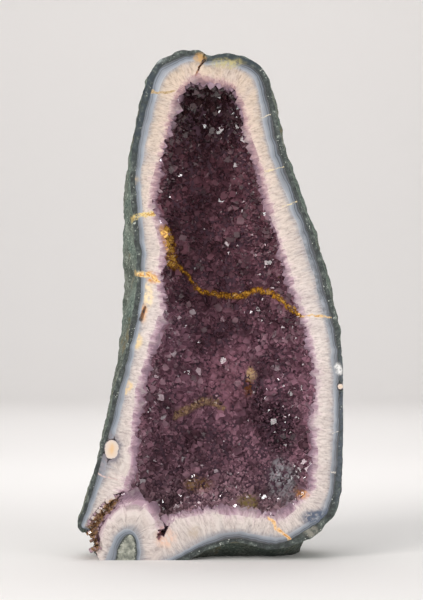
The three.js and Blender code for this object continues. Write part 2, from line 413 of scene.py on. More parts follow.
# a route is shares of the stone's width and height; an upright one is read along its height
veins = {
    "ochre vein": {"route": [(0.355, 0.574), (0.39, 0.572), (0.45, 0.533), (0.52, 0.523), (0.63, 0.519),
                             (0.68, 0.529), (0.76, 0.515), (0.80, 0.496), (0.84, 0.48)],
                   "halfWidth": 4.3 * mm, "colour": "#8f5e18", "core": "#e6ac3e"},
    "gully stain": {"route": [(0.328, 0.650), (0.345, 0.619), (0.351, 0.594), (0.355, 0.578)],
                    "upright": True, "halfWidth": 7.5 * mm, "colour": "#94601e", "core": "#e8b658"},
    "fold valley": {"route": [(0.061, 0.026), (0.050, 0.051), (0.061, 0.069), (0.095, 0.092),
                              (0.133, 0.115)],
                    "upright": True, "halfWidth": 7.5 * mm, "colour": "#a5835c", "core": "#6e4632"},
    "left vein": {"route": [(0.10, 0.652), (0.155, 0.659), (0.185, 0.664), (0.234, 0.674),
                            (0.29, 0.680)],
                  "halfWidth": 4.0 * mm, "colour": "#d8c07c", "core": "#a87414"},
    "lower left vein": {"route": [(0.10, 0.574), (0.17, 0.565), (0.234, 0.561), (0.272, 0.557),
                                  (0.302, 0.549)],
                        "halfWidth": 3.4 * mm, "colour": "#e2c184", "core": "#bd7c1e"},
    "right vein": {"route": [(0.84, 0.479), (0.893, 0.480), (0.93, 0.478), (0.99, 0.476)],
                   "halfWidth": 1.7 * mm, "colour": "#d4b077", "core": "#b98a45"},
    "foot vein": {"route": [(0.725, 0.080), (0.76, 0.060), (0.80, 0.040), (0.82, 0.030)],
                  "halfWidth": 3.4 * mm, "colour": "#e8c08c", "core": "#c4842e"},
    "crown crack": {"route": [(0.441, 0.948), (0.457, 0.966), (0.479, 0.985), (0.484, 1.0)],
                    "upright": True, "halfWidth": 1.6 * mm, "colour": "#8a5a34", "core": "#2e1c14"},
    "veinlet 1": {"route": [(0.69, 0.868), (0.74, 0.873), (0.76, 0.876)],
                  "halfWidth": 0.9 * mm, "colour": "#c4b8a2", "core": "#d8cdb6"},
    "veinlet 2": {"route": [(0.70, 0.762), (0.76, 0.770), (0.80, 0.778)],
                  "halfWidth": 0.9 * mm, "colour": "#c4b48e", "core": "#d8c9a2"},
    "veinlet 3": {"route": [(0.77, 0.694), (0.81, 0.700), (0.85, 0.706)],
                  "halfWidth": 0.9 * mm, "colour": "#c4b48e", "core": "#d8c9a2"},
    "veinlet 4": {"route": [(0.96, 0.250), (0.99, 0.252), (1.0, 0.252)],
                  "halfWidth": 0.8 * mm, "colour": "#b9b2aa", "core": "#cdc5bb"},
    "veinlet 5": {"route": [(0.955, 0.172), (0.98, 0.170), (1.0, 0.170)],
                  "halfWidth": 0.8 * mm, "colour": "#b9b2aa", "core": "#cdc5bb"},
    "veinlet 6": {"route": [(0.07, 0.170), (0.11, 0.162), (0.15, 0.158)],
                  "halfWidth": 0.9 * mm, "colour": "#b79f9b", "core": "#cdb4ae"},
    "olive streak": {"route": [(0.366, 0.274), (0.404, 0.284), (0.46, 0.298), (0.50, 0.302),
                               (0.545, 0.292)],
                     "halfWidth": 6.5 * mm, "colour": "#a08066", "core": "#d6b08e"},
    "crown line": {"route": [(0.25, 0.919), (0.31, 0.917), (0.366, 0.919)],
                   "halfWidth": 1.5 * mm, "colour": "#b39a72", "core": "#947a50"},
}
ironVeins = ["ochre vein", "gully stain", "left vein", "lower left vein", "right vein", "foot vein",
             "crown line", "crown crack"]
foldStains = ["fold valley"]
veinlets = [name for name in veins if name.startswith("veinlet")]
# shares of the stone's width and height, half width and half height in mm, colour, and strength if not 1
patches = {
    "crown ochre": (0.462, 0.984, 7, 6.5, "#bd9254"),
    "crown green": (0.565, 0.974, 19, 6, "#b3a76c"),
    "tan spot": (0.216, 0.745, 6, 4.5, "#a8957a"),
    "spot by the vein": (0.278, 0.554, 7.5, 7, "#c47e1c", 1.2),
    "slit stain": (0.246, 0.484, 6, 11, "#d9a878"),
    "upper left wash": (0.219, 0.429, 8, 10, "#e0c592"),
    "lower left wash": (0.185, 0.339, 7, 9, "#ddc08e"),
    "right ochre spot": (0.845, 0.128, 7, 6, "#d08c2c"),
    "grey window": (0.441, 0.055, 9, 8, "#b5a596"),
    "peach foot": (0.33, 0.045, 12, 12, "#dcb59c"),
    "blue foot": (0.905, 0.084, 20, 10, "#465165", 1.3),
    "foot lens": (0.885, 0.055, 11, 7, "#8f8c80"),
    "nodule halo": (0.122, 0.219, 13, 17, "#7a7379", 2.8),
    "grey below nodule": (0.105, 0.182, 9, 12, "#8f898e"),
    "cleft rust": (0.312, 0.052, 4, 8, "#8a4f4a"),
    "deep shade": (0.478, 0.745, 22, 100, "#2a1518", 0.35),
    "middle shade": (0.555, 0.450, 26, 26, "#3c232c", 0.25),
    "pocket shade": (0.690, 0.318, 8, 30, "#2c1a20", 1.0),
    "low right shade": (0.765, 0.250, 27, 40, "#2c1a24", 1.1),
    "slate left": (0.255, 0.885, 24, 70, "#1f2c36", 1.2),
    "slate top": (0.610, 0.985, 42, 16, "#1e2c35", 1.15),
    "dark agate": (0.915, 0.560, 45, 75, "#3c3e43", 0.7),
    "crown specks": (0.300, 0.982, 10, 5, "#a4abab"),
    "slate right": (1.0, 0.240, 12, 105, "#454d58", 1.1),
    "left warm wash": (0.265, 0.518, 7, 15, "#ecd3a6"),
    "white knob": (0.985, 0.376, 5.5, 7, "#dcdad8", 1.4),
    "lilac cloud": (0.570, 0.350, 34, 38, "#d397a9", 0.7),
    "left lilac": (0.360, 0.440, 22, 34, "#a87c92", 0.5),
    "brown crystals": (0.449, 0.137, 18, 9, "#8f6c48", 1.1),
    "low olive crystals": (0.644, 0.110, 13, 7, "#948052", 1.1),
    "grey crystals": (0.775, 0.150, 17, 24, "#b7b2b8", 1.2),
    "brown pocket": (0.648, 0.332, 6.5, 12, "#8a5436", 1.3),
    "pale pocket": (0.658, 0.358, 6, 8.5, "#f2cfa4", 1.8),
}


# 1 along a vein and 0 beyond its half width
def veinMask(tree, place, vein):
    run, rise = ("Z", "X") if vein.get("upright") else ("X", "Z")
    size = {"X": stoneSize.x, "Z": stoneSize.z}
    low = {"X": lowCorner.x, "Z": lowCorner.z}
    route = sorted(point[::-1] if vein.get("upright") else point for point in vein["route"])
    first, last = route[0][0], route[-1][0]
    axes = addNode(tree, "ShaderNodeSeparateXYZ", {0: place}).outputs
    along = addNode(tree, "ShaderNodeMapRange", {
        "Value": axes[run], "From Min": low[run] + first * size[run],
        "From Max": low[run] + last * size[run]}, clamp=False)
    line = addNode(tree, "ShaderNodeFloatCurve", {"Value": along},
                   curve=[((a - first) / (last - first), b) for a, b in route])
    target = addNode(tree, "ShaderNodeMapRange", {
        "Value": line, "To Min": low[rise], "To Max": low[rise] + size[rise]}, clamp=False)
    aside = addNode(tree, "ShaderNodeMath", {0: axes[rise], 1: target}, operation="SUBTRACT")
    width = addNode(tree, "ShaderNodeMath", {0: aside}, operation="ABSOLUTE")
    pastEnd = addNode(tree, "ShaderNodeMath", {0: along, 1: 0.5}, operation="SUBTRACT")
    pastEnd = addNode(tree, "ShaderNodeMath", {0: pastEnd}, operation="ABSOLUTE")
    pastEnd = addNode(tree, "ShaderNodeMath", {0: pastEnd, 1: 0.5}, operation="SUBTRACT", use_clamp=True)
    reach = addNode(tree, "ShaderNodeMath", {
        0: pastEnd, 1: (last - first) * size[run], 2: width}, operation="MULTIPLY_ADD")
    return addNode(tree, "ShaderNodeMapRange", {
        "Value": reach, "From Min": vein["halfWidth"] * 0.15, "From Max": vein["halfWidth"],
        "To Min": 1.0, "To Max": 0.0}, interpolation_type="SMOOTHSTEP")


# 1 in the middle of a patch and 0 beyond its half sizes
def patchMask(tree, place, fromLeft, fromFloor, halfWidth, halfHeight):
    centre = (across(fromLeft), 0, upwards(fromFloor))
    offset = addNode(tree, "ShaderNodeVectorMath", {0: place, 1: centre}, operation="SUBTRACT")
    shares = addNode(tree, "ShaderNodeVectorMath", {
        0: offset, 1: (1 / (halfWidth * mm), 0, 1 / (halfHeight * mm))}, operation="MULTIPLY")
    reach = addNode(tree, "ShaderNodeVectorMath", {0: shares}, operation="LENGTH")
    return addNode(tree, "ShaderNodeMapRange", {
        "Value": reach.outputs["Value"], "From Min": 0.35, "From Max": 1.0, "To Min": 1.0, "To Max": 0.0},
        interpolation_type="SMOOTHSTEP")


# a place moved about by noise, so that nothing drawn from it has a straight edge
def wobbled(tree, place, length, reach):
    clouds = addNode(tree, "ShaderNodeTexNoise", {"Vector": place, "Scale": 1 / length, "Detail": 3.0})
    shift = addNode(tree, "ShaderNodeVectorMath", {
        0: clouds.outputs["Color"], 1: (0.5, 0.5, 0.5)}, operation="SUBTRACT")
    return addNode(tree, "ShaderNodeVectorMath", {
        0: shift, 1: (2 * reach, 2 * reach, 2 * reach), 2: place}, operation="MULTIPLY_ADD")


# colour with the named veins and patches laid over it, broken up by fine noise; nearFront is how far behind
# the saw cut the last of them fades away
def stained(tree, place, colour, veinNames, patchNames, strength, nearFront=None):
    s = stains
    rough = wobbled(tree, place, *s["wobble"])
    breakUp = addNode(tree, "ShaderNodeTexNoise", {"Vector": place, "Scale": 1 / s["breakUp"], "Detail": 4.0})
    breakUp = addNode(tree, "ShaderNodeMapRange", {
        "Value": breakUp, "From Min": s["limits"][0], "From Max": s["limits"][1],
        "To Min": s["least"] * strength, "To Max": strength})
    if nearFront:
        behind = addNode(tree, "ShaderNodeSeparateXYZ", {0: place}).outputs["Y"]
        fade = addNode(tree, "ShaderNodeMapRange", {
            "Value": behind, "From Min": faceY + s["fadeStart"], "From Max": faceY + nearFront,
            "To Min": 1.0, "To Max": 0.0})
        breakUp = addNode(tree, "ShaderNodeMath", {0: breakUp, 1: fade}, operation="MULTIPLY")
    for name in patchNames:
        *area, tone = patches[name][:5]
        mask = addNode(tree, "ShaderNodeMath", {
            0: patchMask(tree, rough, *area), 1: breakUp}, operation="MULTIPLY")
        for factor in patches[name][5:]:
            mask = addNode(tree, "ShaderNodeMath", {0: mask, 1: factor}, operation="MULTIPLY")
        colour = addNode(tree, "ShaderNodeMix", {0: mask, 6: colour, 7: tone}, data_type="RGBA")
    streaks = addNode(tree, "ShaderNodeTexNoise", {"Vector": place, "Scale": 1 / s["streaks"], "Detail": 3.0})
    streaks = addNode(tree, "ShaderNodeMath", {0: streaks, 1: 0.5}, operation="SUBTRACT")
    for name in veinNames:
        vein = veins[name]
        mask = addNode(tree, "ShaderNodeMath", {
            0: veinMask(tree, rough, vein), 1: breakUp}, operation="MULTIPLY")
        streaky = addNode(tree, "ShaderNodeMath", {
            0: streaks, 1: s["streakiness"], 2: mask}, operation="MULTIPLY_ADD")
        tone = overlaid(tree, vein["colour"], vein["core"], streaky, s["core"])
        colour = overlaid(tree, colour, tone, mask, s["edge"])
    return colour


basaltVeins = ["left vein", "lower left vein"]
basaltPatches = ["slate left", "slate top", "slate right", "crown ochre", "crown green", "foot lens",
                 "crown specks", "white knob"]


# weathered basalt with a skin of celadonite clay: dull, grey-green, knobbly, with dark pits and pale specks
def basaltSkin():
    material, tree, place = startMaterial("weathered basalt skin")
    lumps = addNode(tree, "ShaderNodeTexNoise", {"Vector": place, "Scale": 1 / (11 * mm), "Detail": 4.0})
    colour = addNode(tree, "ShaderNodeValToRGB", {"Fac": lumps}, stops=[
        (0.30, "#434b44"), (0.43, "#5f665d"), (0.55, "#757b71"), (0.70, "#92978c")])
    colour = clouded(tree, place, colour, "#6c8077", 38 * mm, (0.42, 0.60), 0.6)  # clay
    fine = addNode(tree, "ShaderNodeTexNoise", {
        "Vector": place, "Scale": 1 / (2.2 * mm), "Detail": 3.0, "Roughness": 0.6})
    colour = overlaid(tree, colour, "#2c322d", fine, (0.46, 0.34), (0.0, 0.8))  # dark grains
    colour = overlaid(tree, colour, "#bcc5b8", fine, (0.58, 0.68), (0.0, 0.85))  # pale grains
    colour = clouded(tree, place, colour, "#8d7648", 26 * mm, (0.57, 0.68), 0.6, 5.0, 0.65)  # rust
    colour = stained(tree, place, colour, basaltVeins, basaltPatches, 0.8, 14 * mm)
    up = addNode(tree, "ShaderNodeSeparateXYZ", {0: place}).outputs["Z"]
    colour = overlaid(tree, colour, "#2b2c28", up, (2 * mm, 16 * mm), (0.75, 0.0))  # painted shade near the floor: darker towards the bottom, standing in for the contact shadow under the stone
    pits = addNode(tree, "ShaderNodeTexVoronoi", {"Vector": place, "Scale": 1 / (3.4 * mm)})
    height = addNode(tree, "ShaderNodeMath", {0: fine, 1: pits.outputs["Distance"]}, operation="ADD")
    return finishMaterial(
        material, {"Base Color": colour, "Roughness": 0.88, "IOR": 1.5, "Specular IOR Level": 0.35},
        (height, 0.6 * mm, 0.8))


# basalt cut by the saw: darker and flatter than its skin, green-black beside the agate, with pale amygdales
def sawnBasalt():
    material, tree, place = startMaterial("sawn basalt")
    depth = addNode(tree, "ShaderNodeAttribute", attribute_name="layerShare").outputs["Fac"]
    blotches = addNode(tree, "ShaderNodeTexNoise", {
        "Vector": place, "Scale": 1 / (4 * mm), "Detail": 4.0, "Roughness": 0.6})
    colour = addNode(tree, "ShaderNodeValToRGB", {"Fac": blotches}, stops=[
        (0.32, "#151918"), (0.47, "#2f3634"), (0.60, "#4d5550"), (0.72, "#858c83")])
    colour = overlaid(tree, colour, "#272c2c", depth, (0.05, 0.55), (0.9, 0.0))
    specks = addNode(tree, "ShaderNodeTexNoise", {"Vector": place, "Scale": 1 / (1.7 * mm), "Detail": 1.0})
    specks = addNode(tree, "ShaderNodeMapRange", {
        "Value": specks, "From Min": 0.64, "From Max": 0.72, "To Max": 0.75})
    gathered = addNode(tree, "ShaderNodeTexNoise", {"Vector": place, "Scale": 1 / (13 * mm)})
    gathered = addNode(tree, "ShaderNodeMapRange", {"Value": gathered, "From Min": 0.48, "From Max": 0.58})
    specks = addNode(tree, "ShaderNodeMath", {0: specks, 1: gathered}, operation="MULTIPLY")
    colour = addNode(tree, "ShaderNodeMix", {0: specks, 6: colour, 7: "#c3c8be"}, data_type="RGBA")
    colour = stained(tree, place, colour, basaltVeins, basaltPatches, 0.8)
    return finishMaterial(material, {"Base Color": colour, "Roughness": 0.62, "IOR": 1.5},
                          (blotches, 0.5 * mm, 0.5))


# chalcedony laid down in thin bands: blue-grey, dark at the basalt and milky at the quartz, with a waxy gloss
def bandedAgate():
    material, tree, place = startMaterial("banded agate")
    share = addNode(tree, "ShaderNodeAttribute", attribute_name="layerShare").outputs["Fac"]
    swirl = addNode(tree, "ShaderNodeTexNoise", {"Vector": place, "Scale": 1 / (16 * mm), "Detail": 3.0})
    swirl = addNode(tree, "ShaderNodeMath", {0: swirl, 1: 0.5}, operation="SUBTRACT")
    bent = addNode(tree, "ShaderNodeMath", {0: swirl, 1: 0.7, 2: share}, operation="MULTIPLY_ADD")
    colour = addNode(tree, "ShaderNodeValToRGB", {"Fac": bent}, stops=[
        (0.0, "#121517"), (0.13, "#1f2529"), (0.22, "#4a5159"), (0.36, "#636b76"), (0.44, "#43484f"),
        (0.52, "#70777f"), (0.66, "#80868f"), (0.80, "#8f949c"), (0.92, "#9b9ea4"), (1.0, "#a7a8ac")])
    rings = addNode(tree, "ShaderNodeMath", {0: bent, 1: 27.0}, operation="MULTIPLY")  # about four bands
    rings = addNode(tree, "ShaderNodeMath", {0: rings}, operation="SINE")
    colour = overlaid(tree, colour, "#b4b4ba", rings, (-0.4, 1.0), (0.0, 0.12))
    colour = clouded(tree, place, colour, "#6d6c70", 30 * mm, (0.45, 0.65), 0.35, 3.0)
    side = addNode(tree, "ShaderNodeSeparateXYZ", {0: place}).outputs["X"]
    colour = overlaid(tree, colour, "#98a1ad", side, (across(0.5), across(0.2)), (0.0, 0.22))  # left half
    colour = stained(tree, place, colour, ironVeins + veinlets, [
        "dark agate", "crown ochre", "crown green", "tan spot", "blue foot", "nodule halo",
        "grey below nodule", "crown specks", "white knob"], 0.85)
    gloss = addNode(tree, "ShaderNodeTexNoise", {"Vector": place, "Scale": 1 / (3 * mm)})
    gloss = addNode(tree, "ShaderNodeMapRange", {"Value": gloss, "To Min": 0.24, "To Max": 0.42})
    return finishMaterial(material, {"Base Color": colour, "Roughness": gloss, "IOR": 1.54},
                          (rings, 0.04 * mm, 0.3))


# quartz grown in combs off the agate: fibres square to the wall, smoky grey at their feet, milk white, and
# turning lilac, then amethyst, where the teeth of the comb end in the hollow
def combQuartz():
    material, tree, place = startMaterial("comb quartz")
    share = addNode(tree, "ShaderNodeAttribute", attribute_name="layerShare").outputs["Fac"]
    foot = addNode(tree, "ShaderNodeAttribute", attribute_name="layerFoot").outputs["Vector"]
    lengthwise = addNode(tree, "ShaderNodeCombineXYZ", {"Y": share})
    comb = addNode(tree, "ShaderNodeVectorMath", {
        0: lengthwise, 1: (0, 4 * mm, 0), 2: wobbled(tree, foot, 5 * mm, 1.0 * mm)}, operation="MULTIPLY_ADD")
    fibres = addNode(tree, "ShaderNodeTexNoise", {
        "Vector": comb, "Scale": 1 / (1.5 * mm), "Detail": 3.0, "Roughness": 0.65})
    sugar = addNode(tree, "ShaderNodeTexNoise", {
        "Vector": wobbled(tree, place, 2 * mm, 0.6 * mm), "Scale": 1 / (1.6 * mm), "Roughness": 0.6})
    mixed = addNode(tree, "ShaderNodeMix", {0: 0.22, 2: fibres, 3: sugar})
    ragged = addNode(tree, "ShaderNodeTexNoise", {
        "Vector": comb, "Scale": 1 / (4.5 * mm), "Detail": 3.0, "Roughness": 0.6})
    ragged = addNode(tree, "ShaderNodeMath", {0: ragged, 1: 0.5}, operation="SUBTRACT")
    ragged = addNode(tree, "ShaderNodeMath", {0: ragged, 1: 1.5, 2: share}, operation="MULTIPLY_ADD")
    layers = addNode(tree, "ShaderNodeMapRange", {"Value": ragged, "From Min": -0.1, "From Max": 2.1})
    colour = addNode(tree, "ShaderNodeValToRGB", {"Fac": layers}, stops=[
        (0.02, "#aba6a6"), (0.10, "#bcb3b0"), (0.20, "#cac0ba"), (0.40, "#d5c9c3"), (0.50, "#d6c7c5"),
        (0.58, "#c6b0b6"), (0.67, "#aa8c99"), (0.79, "#866a7a"), (1.0, "#64495a")])
    up = addNode(tree, "ShaderNodeSeparateXYZ", {0: place}).outputs["Z"]
    cream = addNode(tree, "ShaderNodeMapRange", {
        "Value": up, "From Min": upwards(0.5), "From Max": upwards(0.95), "To Max": 0.8})
    colour = addNode(tree, "ShaderNodeMix", {
        0: cream, 6: colour, 7: "#f2e4cd"}, data_type="RGBA", blend_type="MULTIPLY")
    colour = clouded(tree, place, colour, "#b5a9a6", 14 * mm, (0.50, 0.66), 0.4, 3.0)
    smoky = addNode(tree, "ShaderNodeMapRange", {
        "Value": share, "From Min": 0.0, "From Max": 0.26, "To Min": 1.0, "To Max": 0.0},
        interpolation_type="SMOOTHSTEP")
    smokyHere = addNode(tree, "ShaderNodeTexNoise", {"Vector": place, "Scale": 1 / (22 * mm), "Detail": 3.0})
    smokyHere = addNode(tree, "ShaderNodeMapRange", {
        "Value": smokyHere, "From Min": 0.36, "From Max": 0.58, "To Min": 0.45, "To Max": 0.95})
    smoky = addNode(tree, "ShaderNodeMath", {0: smoky, 1: smokyHere}, operation="MULTIPLY")
    colour = addNode(tree, "ShaderNodeMix", {0: smoky, 6: colour, 7: "#98989c"}, data_type="RGBA")
    light = addNode(tree, "ShaderNodeValToRGB", {"Fac": mixed}, stops=[
        (0.32, "#aaa3a4"), (0.46, "#e6e1e0"), (0.58, "#ffffff")])
    colour = addNode(tree, "ShaderNodeMix", {
        0: 0.8, 6: colour, 7: light}, data_type="RGBA", blend_type="MULTIPLY")
    colour = stained(tree, place, colour, ironVeins + veinlets + foldStains, [
        "crown ochre", "crown green", "tan spot", "left warm wash", "spot by the vein", "slit stain",
        "upper left wash", "lower left wash", "grey window", "peach foot", "blue foot", "nodule halo",
        "right ochre spot", "cleft rust"], 0.85)
    return finishMaterial(material, {"Base Color": colour, "Roughness": 0.40, "IOR": 1.544},
                          (mixed, 0.15 * mm, 0.7))


# roots of the amethyst crystals: dull and dark where little light comes out again
def amethystRoot():
    material, tree, place = startMaterial("amethyst root")
    tone = addNode(tree, "ShaderNodeTexNoise", {"Vector": place, "Scale": 1 / (6 * mm), "Detail": 3.0})
    tone = addNode(tree, "ShaderNodeValToRGB", {"Fac": tone}, stops=[(0.35, "#382530"), (0.65, "#5a404d")])
    colour = stained(tree, place, tone, ["ochre vein", "gully stain"] + foldStains,
                     ["cleft rust", "deep shade"], 0.9)
    height = addNode(tree, "ShaderNodeTexNoise", {"Vector": place, "Scale": 1 / (3 * mm)})
    return finishMaterial(
        material, {"Base Color": colour, "Roughness": 0.75, "IOR": 1.544, "Specular IOR Level": 0.2},
        (height, 0.8 * mm, 0.8))


# the colour of an amethyst crystal by its place: brown-black in the crown, partly the amethyst's own deeper
# colour and partly painted shade of the hollow's overhung top, mauve at the belly; darker below its tip,
# which is painted shade between the crystals, and of its own painted light on each face
def amethystColour(tree, place):
    tint = addNode(tree, "ShaderNodeAttribute", attribute_name="crystalTint").outputs["Fac"]
    tip = addNode(tree, "ShaderNodeAttribute", attribute_name="tipShare").outputs["Fac"]
    soft = wobbled(tree, place, 40 * mm, 22 * mm)
    height = addNode(tree, "ShaderNodeMapRange", {
        "Value": addNode(tree, "ShaderNodeSeparateXYZ", {0: soft}).outputs["Z"],
        "From Min": lowCorner.z, "From Max": highCorner.z})
    # painted shade: the dark top of this ramp stands partly for the shade in the hollow's overhung crown and
    # partly for the amethyst's deeper colour there
    colour = addNode(tree, "ShaderNodeValToRGB", {"Fac": height}, stops=[
        (0.06, "#d2b0b5"), (0.18, "#d7a2b4"), (0.34, "#d49bb0"), (0.48, "#af7c8c"),
        (0.62, "#a67381"), (0.76, "#a06c79"), (0.88, "#4b3132")])
    # painted shade between the crystals: each crystal darker towards its foot
    colour = overlaid(tree, colour, "#31191f", tip, (0.0, 1.0), (0.30, 0.0))
    colour = overlaid(tree, colour, "#b08a98", tint, (0.5, 1.0), (0.0, 0.3))
    colour = clouded(tree, place, colour, "#4a2c35", 20 * mm, (0.42, 0.62), 0.65)
    # painted light and reflection: each face of a crystal brighter or darker at random, as if it caught the
    # lamps differently
    facet = addNode(tree, "ShaderNodeAttribute", attribute_name="facetTone").outputs["Fac"]
    lit = addNode(tree, "ShaderNodeValToRGB", {"Fac": facet}, stops=[
        (0.0, "#9c989c"), (0.45, "#dcd8dc"), (0.8, "#ffffff")])
    return addNode(tree, "ShaderNodeMix", {
        0: 1.0, 6: colour, 7: lit}, data_type="RGBA", blend_type="MULTIPLY")


# clear amethyst points: glassy faces, smoky mauve inside, near white where the rim is thin
def amethystPoint():
    material, tree, place = startMaterial("amethyst point")
    behind = addNode(tree, "ShaderNodeSeparateXYZ", {0: place}).outputs["Y"]
    colour = overlaid(tree, amethystColour(tree, place), "#b698a8", behind, (faceY, faceY + 7 * mm),
                      (0.85, 0.0), interpolation_type="SMOOTHSTEP")
    colour = stained(tree, place, colour, ["ochre vein", "gully stain", "olive streak"] + foldStains, [
        "deep shade", "middle shade", "low right shade", "lilac cloud", "left lilac", "pocket shade",
        "brown crystals", "low olive crystals", "grey crystals", "brown pocket", "pale pocket",
        "right ochre spot", "cleft rust"], 0.95)
    frost = addNode(tree, "ShaderNodeTexNoise", {"Vector": place, "Scale": 1 / (5 * mm)})
    frost = addNode(tree, "ShaderNodeMapRange", {
        "Value": frost, "From Min": 0.3, "From Max": 0.7, "To Min": 0.03, "To Max": 0.16})
    return finishMaterial(
        material, {"Base Color": colour, "Roughness": frost, "IOR": 1.544, "Transmission Weight": 0.3},
        volume=addNode(tree, "ShaderNodeVolumeAbsorption", {"Color": "#b090a0", "Density": 40.0}))


# dense cream chalcedony: matt, warm in the middle, with a grey skin
def creamChalcedony():
    material, tree, place = startMaterial("cream chalcedony")
    share = addNode(tree, "ShaderNodeAttribute", attribute_name="layerShare").outputs["Fac"]
    mottled = addNode(tree, "ShaderNodeTexNoise", {"Vector": place, "Scale": 1 / (3 * mm), "Detail": 3.0})
    mottled = addNode(tree, "ShaderNodeMath", {0: mottled, 1: 0.5}, operation="SUBTRACT")
    mottled = addNode(tree, "ShaderNodeMath", {0: mottled, 1: 0.5, 2: share}, operation="MULTIPLY_ADD")
    tone = addNode(tree, "ShaderNodeValToRGB", {"Fac": mottled}, stops=[
        (0.0, "#55515a"), (0.08, "#7b7378"), (0.2, "#cfc0b6"), (0.6, "#d4bfaa"), (1.0, "#d6b287")])
    height = addNode(tree, "ShaderNodeTexNoise", {"Vector": place, "Scale": 1 / (1.5 * mm)})
    return finishMaterial(material, {"Base Color": tone, "Roughness": 0.45, "IOR": 1.54},
                          (height, 0.1 * mm, 0.4))


# basalt stub in the fold: grey-green, mottled, ringed by black-green specks
def mottledBasalt():
    material, tree, place = startMaterial("mottled basalt")
    share = addNode(tree, "ShaderNodeAttribute", attribute_name="layerShare").outputs["Fac"]
    tone = addNode(tree, "ShaderNodeTexNoise", {
        "Vector": place, "Scale": 1 / (5 * mm), "Detail": 5.0, "Roughness": 0.6})
    tone = addNode(tree, "ShaderNodeValToRGB", {"Fac": tone}, stops=[
        (0.34, "#5f635b"), (0.5, "#8c8e82"), (0.68, "#b5b5a8")])
    specks = addNode(tree, "ShaderNodeTexNoise", {"Vector": place, "Scale": 1 / (1.6 * mm), "Detail": 1.0})
    ring = addNode(tree, "ShaderNodeMath", {0: specks, 1: share}, operation="SUBTRACT")
    colour = overlaid(tree, tone, "#2c3330", ring, (0.05, 0.30), (0.0, 0.95))
    return finishMaterial(material, {"Base Color": colour, "Roughness": 0.7, "IOR": 1.5},
                          (specks, 0.3 * mm, 0.5))


basaltRind = {
    "facePitch": 2.2 * mm, "skinPitch": 3.6 * mm, "skinRounds": 30,
    "lumps": [(30 * mm, 2.1 * mm), (11 * mm, 1.3 * mm), (5 * mm, 0.8 * mm)],  # wavelength and height
    "swell": 1.6 * mm,  # mean level of the lumps over the smooth skin
    "rimRamp": 7 * mm,  # lumps and swell grow to full height over this distance behind the saw cut
    "rimShare": 0.6,  # share of them that is there at the cut itself
    "bandDepth": 5 * mm,  # layerShare is 1 this far from the agate
}


# lumps on the rough outside: several sizes of noise laid over each other, along the surface's own normals
def roughen(points, normals, chosen, settings):
    for i in np.flatnonzero(chosen):
        p = Vector(points[i])
        height = settings["swell"] + sum(size * noise.noise(p / length) for length, size in settings["lumps"])
        behind = min(1.0, (p.y - faceY) / settings["rimRamp"])
        points[i] += normals[i] * height * (settings["rimShare"] + (1 - settings["rimShare"]) * behind)
    return np.clip(points, lowCorner, highCorner)


def makeBasaltRind():
    s = basaltRind
    bm = startPiece("basalt_rind", s["facePitch"], s["skinPitch"])
    rest = [v.co.copy() for v in bm.verts]
    points, normals, skin, front = settle(bm, "basalt_rind", s["skinRounds"])
    near = neighboursOf("basalt_rind")
    gaps = np.array([near.find_nearest(p)[3] for p in rest])
    points = roughen(points, normals, (skin | front) & (gaps > shaping["clear"]), s)
    putBack(bm, carve(wander(points), front))
    evenOut(bm)
    for f in bm.faces:
        sawn = allOnFront(f) or allOnBase(f)
        f.material_index = 1 if sawn else 0
        f.smooth = not sawn
    piece = finishPiece(bm, "basalt_rind_rough", "basalt_rind", [basaltSkin(), sawnBasalt()])
    storeNumbers(piece.data, "layerShare", gaps / s["bandDepth"])
    return piece


# small crystals grow where a carving went into the sawn front
def markCarved(bm, sawnFaces):
    growing = bm.faces.layers.float.new("grows")
    for f, sawn in zip(bm.faces, sawnFaces):
        centre = f.calc_center_median()
        carved = sawn and centre.z < upwards(druse["foldTop"]) and centre.y > faceY + shaping["clear"]
        f[growing] = druse["valleyGrowth"] if carved else 0.0


sawnLayers = {"facePitch": 2.0 * mm, "wallPitch": 4 * mm, "basePitch": 5 * mm, "wallRounds": 6}
quartzFeet = ["agate_band", "agate_ring", "left_nodule", "right_nodule"]  # what the combs of quartz stand on


# how far each point lies between two neighbours, 0 at the first and 1 at the second, and the nearest place on
# the first
def layerPlace(points, firstNames, secondNames, thickness):
    first = surfaceOf(firstNames)
    second = surfaceOf(secondNames) if secondNames else None
    shares, feet = [], []
    for p in points:
        foot, _, _, toFirst = first.find_nearest(Vector(p))
        total = toFirst + second.find_nearest(Vector(p))[3] if second else thickness
        shares.append(toFirst / max(total, tiny))
        feet.append(foot)
    return np.array(shares), np.array(feet)


def makeLayer(node, pieceName, material, firstNames, secondNames=(), thickness=None):
    s = sawnLayers
    bm = startPiece(node, s["facePitch"], s["wallPitch"], s["basePitch"])
    rest = np.array([v.co for v in bm.verts])
    points, _, _, front = settle(bm, node, s["wallRounds"])
    shares, feet = layerPlace(rest, firstNames, secondNames, thickness)
    sawnFaces = [allOnFront(f) for f in bm.faces]
    putBack(bm, carve(wander(points), front))
    markCarved(bm, sawnFaces)
    evenOut(bm)
    piece = finishPiece(bm, pieceName, node, [material])
    storeNumbers(piece.data, "layerShare", shares)
    storeVectors(piece.data, "layerFoot", feet)
    return piece


